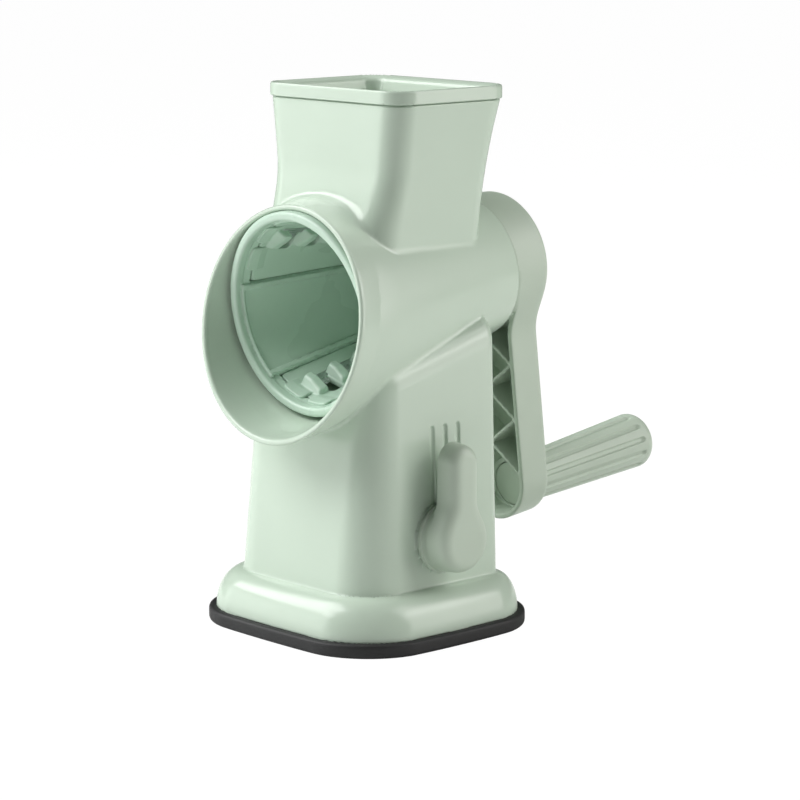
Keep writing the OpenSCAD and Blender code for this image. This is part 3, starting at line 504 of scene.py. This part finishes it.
def pusher_field(x, y, z):
    """Distance to the pusher: the hopper's form set in, with a rounded rim, less its hollow."""
    side = hopper_side(x, y, z, 0.0) + cup_gap
    cup = soft_max(side, cup_low - z, 2.0)
    rim_side = round_box(x, y - rim_y, rim_half_w, rim_half_l, mix(rim_front_r, rim_rear_r, rise(y, 5, 12)))
    rim = np.maximum(rim_side, rim_low - z)
    hollow = soft_max(side + cup_wall, cup_low + cup_wall - z, 3.0)
    rim_hollow = np.maximum(mix(side + cup_wall, rim_side + rim_wide, rise(z, 224, 6)), 223.0 - z)
    body = np.maximum(np.minimum(np.maximum(cup, z - 226), rim), -np.minimum(hollow, rim_hollow))
    crown = 0.34 * np.clip(-rim_side - 0.6, 0, 6)
    return soft_max(body, (z - rim_top + crown) * crown_share, 1.4)


pusher_skin = skin_of("pusher_skin", pusher_field, (-46, -25, 186), (46, 47, 233), 0.9)
dress(pusher_skin, glossy_green, "pusher", "mint_gloss", "pusher")

# Cutting drum
# A cone in the same green plastic. Its front ring is thick, with a round lip and a step inside it, and
# three plain panels stand between the windows for the cutting inserts, each with a low raised border.
drum_gap, drum_wall = 3.3, 2.2


def drum_radius(s):
    return tube_cone(s) - wall - drum_gap


def place_drum(p):
    """Points across, below and along the drum's axis, into the machine's frame."""
    x, below, s = p.T
    return np.column_stack([x, s * cos(tilt) + below * sin(tilt), axis_z + s * sin(tilt) - below * cos(tilt)])


def drum_angle(x, below, middle):
    """Angle round the drum from a middle, counted from the top towards -X."""
    a = np.arctan2(-x, -below) - radians(middle)
    return (a + pi) % (2 * pi) - pi


def hexagon(x, y):
    """How far out from a hexagon's middle, measured square to its nearest flat."""
    return np.maximum(np.abs(y), 0.5 * np.abs(y) + 0.866 * np.abs(x))


insert_middles, insert_half = (49, 169, 289), radians(28.5)
drum_front, drum_rear, back_front = -36.2, 50.5, 48.3
window_s, window_half_l, border_half = 5.5, 36.0, 1.3
lip_r, lip_round, step_r, step_s = 41.7, 1.3, 41.5, -35.3
hub_r, hub_front, hub_rear, hex_half, hex_front = 10.4, 39.2, 54.4, 6.15, 41.4


def drum_field(x, below, s):
    """Distance to the drum frame: a conical wall with its ring, borders, back and socket, less the windows."""
    r = np.hypot(x, below)
    inner_r = drum_radius(s) - drum_wall
    shell = np.abs(r - drum_radius(s) + drum_wall / 2) - drum_wall / 2
    shell = np.maximum(np.maximum(shell, drum_front - s), s - drum_rear)
    near = np.minimum.reduce([np.abs(drum_angle(x, below, middle)) for middle in insert_middles])
    past = (near - insert_half) * r
    band = np.minimum(np.abs(past - 1.7) - border_half, np.maximum(np.abs(s + 34.6) - 0.8, -past))
    band = np.maximum(band, np.maximum(-35.4 - s, s - 41.5))
    border = np.maximum(np.maximum(r - inner_r - 1, inner_r - 1.8 - r), band)
    border = soft_max(border, inner_r - 1.7 - r, 1.2)
    window = np.maximum(past, np.abs(s - window_s) - window_half_l)
    shell = np.maximum(shell, -window)
    lip = np.hypot(np.maximum(np.abs(r - lip_r) - 0.7, 0), np.maximum(np.abs(s - drum_front) - 1.1, 0))
    step = np.maximum(np.abs(r - step_r) - 1.2, np.abs(s - step_s) - 0.9)
    back = disc(r, drum_radius(s), s, back_front, drum_rear)
    body = np.minimum(soft_min(shell, border, 0.5), np.minimum(lip - lip_round, step))
    body = np.minimum(soft_min(body, back, 2.5), disc(r, hub_r, s, hub_front, hub_rear))
    return np.maximum(body, -np.maximum(hexagon(x, below) - hex_half, hex_front - s))


drum_skin = skin_of("drum_skin", drum_field, (-46, -46, -42), (46, 46, 57), 0.78, place_drum)
drum_green = moulded("drum pale green", (0.54, 0.70, 0.58), 0.24, 0.06, 0.05, 500)
dress(drum_skin, drum_green, "drum", "mint_gloss", "drum_frame")

# Cutting inserts
# Three curved plates clipped into the windows, with tabs at the front. Each has a row of openings along its
# middle and a tall sloping block before each opening, which lifts the cabbage onto the blade.
first_slot, slot_pitch, slot_count = -17.3, 13.2, 5
tab_across, tab_s, tab_half_w, tab_half_l, tab_r = 7.6, -28.7, 5.9, 4.7, 1.6
block_turn, opening_turn, slot_half_turn, block_h = 0.096, 0.044, 0.148, 4.3
plate_s, plate_half_l, plate_gap, opening_half_l, opening_r = 5.6, 35.6, 0.25, 3.3, 2.2


def insert_field(x, below, s):
    """Distance to an insert whose middle is at the top: a curved plate with tabs, blocks and openings."""
    r, a = np.hypot(x, below), np.arctan2(-x, -below)
    around, outer_r = a * r, drum_radius(s)
    plate = np.abs(r - outer_r + drum_wall / 2) - drum_wall / 2
    side = (np.abs(a) - insert_half) * r + plate_gap
    plate = soft_max(plate, soft_max(side, np.abs(s - plate_s) - plate_half_l, 1.2), 0.5)
    height = outer_r - drum_wall - r
    tab = round_box(np.abs(around) - tab_across, s - tab_s, tab_half_w, tab_half_l, tab_r)
    tab = soft_max(tab, np.maximum(height - rise(-s, 25, 4), -height - 0.3), 0.5)
    plate = np.minimum(plate, tab)
    k = np.clip(np.round((s - first_slot) / slot_pitch + 0.5), 0, slot_count - 1)
    t = s - first_slot - (k - 0.5) * slot_pitch
    beside = around + block_turn * outer_r
    tall = block_h - 2.4 * rise(beside, -1.0, 7.0)
    ramp = soft_max(np.abs(t - 0.2 * height) - 3.0 + 0.20 * height, height - tall, 1.4)
    ramp_side = np.abs(beside) - slot_half_turn * outer_r + 0.08 * height
    ramp = soft_max(np.maximum(ramp, -height - 1.2), ramp_side, 1.2)
    j = np.clip(np.round((s - first_slot) / slot_pitch), 0, slot_count - 1)
    q = s - first_slot - j * slot_pitch
    opening = round_box(around + opening_turn * outer_r, q, slot_half_turn * outer_r, opening_half_l, opening_r)
    return soft_max(soft_min(plate, ramp, 0.8), -np.maximum(opening, -height - 4), 0.5)


def turned(middle):
    """Gives a way to turn points round the drum's axis to an insert's middle and place them."""
    c, t = cos(radians(middle)), sin(radians(middle))

    def place(p):
        x, below, s = p.T
        return place_drum(np.column_stack([x * c + below * t, below * c - x * t, s]))
    return place


for number, middle in enumerate(insert_middles, 1):
    insert_skin = skin_of("insert_skin_%d" % number, insert_field, (-23, -46, -36), (23, -16, 44), 0.55,
                          turned(middle))
    dress(insert_skin, drum_green, "drum", "mint_gloss", "cutting_insert_%d" % number)

# Blades
# A stamped stainless comb lies along each row of openings, with one round-ended tongue over each opening.
edge_turn, strip_wide, strip_past, tongue_r, blade_thick = 0.192, 3, 6.6, 1.7, 0.6


def brushed(name, colour, roughness):
    """A metal with fine marks along one way."""
    material = bpy.data.materials.new(name)
    material.use_nodes = True
    tree = material.node_tree
    shader, wire = tree.nodes["Principled BSDF"], tree.links.new
    shader.inputs["Metallic"].default_value = 1.0
    place, stretch = tree.nodes.new("ShaderNodeTexCoord"), tree.nodes.new("ShaderNodeMapping")
    stretch.inputs["Scale"].default_value = (900, 60, 900)
    marks, tone = tree.nodes.new("ShaderNodeTexNoise"), tree.nodes.new("ShaderNodeMapRange")
    marks.inputs["Scale"].default_value = 1.0
    tone.inputs["To Min"].default_value = roughness - 0.07
    tone.inputs["To Max"].default_value = roughness + 0.1
    tint, dents = tree.nodes.new("ShaderNodeMix"), tree.nodes.new("ShaderNodeBump")
    tint.data_type = "RGBA"
    tint.inputs["A"].default_value = (*(0.86 * c for c in colour), 1)
    tint.inputs["B"].default_value = (*colour, 1)
    dents.inputs["Distance"].default_value, dents.inputs["Strength"].default_value = 0.00005, 0.3
    wire(place.outputs["Object"], stretch.inputs["Vector"])
    wire(stretch.outputs[0], marks.inputs["Vector"])
    wire(marks.outputs["Fac"], tone.inputs["Value"])
    wire(marks.outputs["Fac"], tint.inputs["Factor"])
    wire(marks.outputs["Fac"], dents.inputs["Height"])
    wire(tone.outputs[0], shader.inputs["Roughness"])
    wire(tint.outputs["Result"], shader.inputs["Base Color"])
    wire(dents.outputs[0], shader.inputs["Normal"])
    return material


stainless = brushed("stainless steel", (0.70, 0.71, 0.72), 0.28)


def blade_points(across, s, height):
    """Points of a blade: how far round from the insert's middle, along the axis, and above the insert's inner
    wall."""
    r = drum_radius(s) - drum_wall - height
    a = -across / drum_radius(s)
    return np.column_stack([-r * np.sin(a), -r * np.cos(a), s])


def wrapped_faces(around, rows):
    """The four-cornered faces between rows of points that each close on themselves."""
    i, k = (grid.ravel() for grid in np.meshgrid(np.arange(around), np.arange(rows - 1)))
    ahead = (i + 1) % around
    return np.column_stack([k * around + i, k * around + ahead, (k + 1) * around + ahead, (k + 1) * around + i])


def sheet_piece(outline, thick):
    """A thin plate: the outline shrinks to its middle at both faces, with a rounded edge between them."""
    levels = ((0.001, 0.0), (0.96, 0.0), (1.0, 0.15), (1.0, 0.85), (0.96, 1.0), (0.001, 1.0))
    middle = outline.mean(0)
    rings = [np.column_stack([middle + (outline - middle) * share, np.full(len(outline), thick * up)])
             for share, up in levels]
    return np.concatenate(rings), wrapped_faces(len(outline), len(levels))


t = np.linspace(0, 2 * pi, 28, endpoint=False)
shapes = []
for k in range(slot_count):
    s = first_slot + k * slot_pitch
    edge = edge_turn * drum_radius(s)
    half_long = 0.225 * edge
    tongue = edge - half_long + 0.6 + np.sign(np.cos(t)) * half_long + tongue_r * np.cos(t)
    shapes.append(np.column_stack([tongue, s + tongue_r * np.sin(t)]))
last_slot = first_slot + (slot_count - 1) * slot_pitch
s_line = mix(first_slot - strip_past, last_slot + strip_past, np.linspace(0, 1, 40))
edge_line = edge_turn * drum_radius(s_line) + 0.25
shapes.append(np.concatenate([np.column_stack([edge_line, s_line]),
                              np.column_stack([edge_line + strip_wide, s_line])[::-1]]))
parts, faces, start = [], [], 0
for shape in shapes:
    p, f = sheet_piece(shape, blade_thick)
    parts.append(blade_points(*p.T))
    faces.append(f[:, ::-1] + start)
    start += len(p)
for number, middle in enumerate(insert_middles, 1):
    comb = turned(middle)(np.concatenate(parts))
    blade = put_in_mesh("blade_comb_%d" % number, comb, [np.concatenate(faces)])
    dress(blade, stainless, "drum", "steel", "blade_strip_%d" % number)

# Crank
# A satin moulding: a round cup over the tube's end, and a channel-shaped arm with crossed ribs, open towards
# the machine. A round boss carries the grip.
arm_r, arm_half_w, arm_reach, arm_wall, cup_r = 29.4, 19.3, 97.5, 2.4, 27.0
crank_front, crank_rear, crank_inside = 61.8, 81.3, 78.3
rib_front, rib_rear, shaft_boss_r, shaft_boss_front, socket_front = 64.7, 79, 11.4, 65.1, 75.4
grip_reach, grip_boss_r, grip_boss_rear, grip_socket_r = 103.5, 12.6, 85.3, 12.4
rib_count, rib_pitch, rib_half, rib_cos, rib_sin = 3, 25, 0.8, 0.804, 0.595
crank_hex_half, cap_r, cap_front, axle_r, axle_head_r = 6.0, 8.9, 78.8, 4.0, 10.0


def paddle(x, y, hub, half, reach, k):
    """Distance to a round hub with an arm of even width and a round end, joined by a fillet of band k."""
    arm = np.hypot(x, y - np.clip(y, 0, reach)) - half
    return soft_min(np.hypot(x, y) - hub, arm, k)


def crank_field(x, below, s):
    """Distance to the crank: hub and arm with rounded outer edges, less the cup and the channel, plus ribs
    and bosses."""
    r, end_r = np.hypot(x, below), np.hypot(x, below - grip_reach)
    plan = paddle(x, below, arm_r, arm_half_w, arm_reach, 9.0)
    front = crank_front + 2.5 * rise(r, 29.0, 0.8) * (below > 0)
    outer = soft_max(soft_max(plan, s - crank_rear, 3.0), front - s, 0.7)
    cup = np.maximum(r - cup_r, s - crank_inside)
    channel = np.maximum(np.maximum(plan + arm_wall, s - crank_inside), arm_r - r)
    body = soft_max(outer, -np.minimum(cup, channel), 0.8)
    crossing = []
    for k in range(rib_count):
        q = below - (arm_reach - rib_pitch * (k + 0.65))
        crossing += [np.abs(rib_cos * q - rib_sin * x), np.abs(rib_cos * q + rib_sin * x)]
    ribs = np.maximum(np.minimum.reduce(crossing) - rib_half, np.maximum(plan + arm_wall / 2, 29.0 - r))
    ribs = np.maximum(ribs, np.maximum(rib_front - s, s - rib_rear))
    body = soft_min(body, ribs, 0.6)
    hub = disc(r, shaft_boss_r, s, shaft_boss_front, rib_rear)
    socket = disc(end_r, grip_socket_r, s, socket_front, rib_rear)
    body = soft_min(body, np.minimum(hub, socket), 0.6)
    boss = soft_max(np.maximum(end_r - grip_boss_r, rib_rear - s), s - grip_boss_rear, 0.8)
    body = soft_min(body, boss, 0.8)
    holes = np.minimum(hexagon(x, below) - crank_hex_half, np.maximum(r - cap_r, cap_front - s))
    holes = np.minimum(holes, np.minimum(end_r - axle_r, np.maximum(end_r - axle_head_r, s - crank_inside)))
    return np.maximum(body, -holes)


satin_green = moulded("satin pale green", (0.51, 0.60, 0.50), 0.38, 0.05, 0.12, 1400)
crank_skin = skin_of("crank_skin", crank_field, (-33, -33, 58.5), (33, 120, 88), 0.85, place_drum)
dress(crank_skin, satin_green, "crank", "mint_satin", "crank_arm")

# Grip
# A fluted sleeve that turns on its axle. Twelve shallow flutes run out of its root and end round below the
# domed end.
flutes, flute_r, flute_deep, flute_share = 12, 1.45, 1.05, 0.855
root_r, root_round, wide_r, dome_share = 10.6, 0.4, 12.7, 0.90
grip_len, grip_root_s, bore_r, bore_deep, barb_r, barb_deep = 75.5, 85.7, 4.08, 60.0, 5.4, 62.4
t = np.concatenate([np.linspace(0, 0.87, 60), 0.87 + 0.13 * np.sin(np.linspace(0, pi / 2, 26)[1:])])
dome = rise(t, dome_share, 1 - dome_share)
profile = np.where(t < dome_share, mix(root_r, wide_r, t / dome_share), wide_r * np.sqrt(1 - dome ** 2))
profile[-1] = 0.01
turn = np.linspace(0, 2 * pi, flutes * 28, endpoint=False)
turn_grid, t_grid = np.meshgrid(turn, t)
r_grid = np.broadcast_to(profile[:, None], turn_grid.shape)
from_flute = (np.mod(turn_grid * flutes / (2 * pi), 1) - 0.5) * 2 * pi / flutes * r_grid
past_end = np.maximum(t_grid - flute_share, 0) * grip_len
into = np.clip((flute_r - np.hypot(from_flute, past_end)) / 0.6, 0, 1)
r_grid = r_grid - flute_deep * smooth(into) * rise(t_grid, 0, 0.02)
outside = np.stack([r_grid * np.cos(turn_grid), r_grid * np.sin(turn_grid), t_grid * grip_len], -1)
outside[0, :, :2] *= (root_r - root_round) / root_r
outside[0, :, 2] = 0.0
outside[1, :, 2] = np.maximum(outside[1, :, 2], root_round)
bore = ((0.01, barb_deep), (barb_r, barb_deep), (barb_r, bore_deep), (bore_r, bore_deep), (bore_r, 0.0))
inside = [np.column_stack([r * np.cos(turn), r * np.sin(turn), np.full(len(turn), z)]) for r, z in bore]
rings = np.concatenate([np.stack(inside), outside])
grip_points = rings.reshape(-1, 3) + np.array([0, grip_reach, grip_root_s])
grip_skin = put_in_mesh("grip_skin", place_drum(grip_points), [wrapped_faces(len(turn), len(rings))])
dress(grip_skin, satin_green, "grip", "mint_satin", "grip")

# Suction lever
# A satin moulding on the column's side: a thin flange, a drafted round hub and a short arm that stands off
# the wall, all with well rounded front edges.
lever_hub_r, lever_half_w, lever_reach, lever_back, lever_face = 14.2, 8.6, 33.0, 49.5, 60.0
flange_r, flange_x, square_half, square_end = 15.0, 46.1, 3.4, 55.8


def lever_field(x, y, z):
    """Distance to the lever: its outline set in slightly towards the front, with a large front round."""
    y, z = y - lever_y, z - lever_z
    draft = 0.10 * np.maximum(x - 46, 0)
    plan = paddle(y, z, lever_hub_r, lever_half_w, lever_reach, 7.0) + draft
    hub = np.maximum(np.hypot(y, z) - lever_hub_r + draft, 45.3 - x)
    body = soft_min(soft_max(plan, lever_back - x, 1.2), hub, 1.0)
    body = soft_max(body, x - lever_face, 5.0)
    flange = soft_max(np.hypot(y, z) - flange_r, np.abs(x - flange_x) - 0.8, 0.4)
    square = np.maximum(np.abs(y), np.abs(z)) - square_half
    return np.maximum(soft_min(body, flange, 0.5), -np.maximum(square, x - square_end))


lever_skin = skin_of("lever_skin", lever_field, (43, -15, 26), (63, 20, 88), 0.55)
dress(lever_skin, satin_green, "lever", "mint_satin", "suction_lever")

# Rubber foot
# A black rubber tray that wraps the base plate: a flat pad with a band round its edge, moulded with a fine
# matt texture and softly rounded edges.
foot_half_w, foot_half_l, foot_r, foot_half_h, band_wide = 57.8, 54.1, 29, 3.0, 4.4


def foot_field(x, y, z):
    """Distance to the foot: a bowed rounded square, rounded at both edges, less the plate's space."""
    side = bowed_box(x, y, foot_half_w, foot_half_l, foot_r, side_bow)
    body = soft_max(side, np.abs(z - foot_half_h) - foot_half_h, 1.6)
    return soft_max(body, -np.maximum(side + band_wide, foot_half_h - z), 0.6)


black_rubber = moulded("black rubber", (0.013, 0.013, 0.014), 0.55, 0.12, 0.35, 1500)
foot_skin = skin_of("foot_skin", foot_field, (-64, -60, -2), (64, 60, 11), 1.05)
dress(foot_skin, black_rubber, "base", "rubber", "suction_foot")

# Fittings
# The shafts, screws, bushes, cam, stem, base plate and hub cap keep their turned and moulded CAD shapes, in
# plain steel, natural nylon and the crank's green.
natural_nylon = moulded("natural nylon", (0.74, 0.73, 0.68), 0.42, 0.10, 0.15, 900)
fitting_finish = {
    stainless: ("drive_shaft", "drive_screw", "lever_shaft", "cam_screw", "base_screws", "foot_insert"),
    natural_nylon: ("rear_bush", "lever_bush", "lift_cam", "lift_stem", "base_plate"),
    satin_green: ("hub_cap", "grip_axle"),
}
for finish, names in fitting_finish.items():
    for name in names:
        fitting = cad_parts[name]
        fitting.data.materials.clear()
        fitting.data.materials.append(finish)
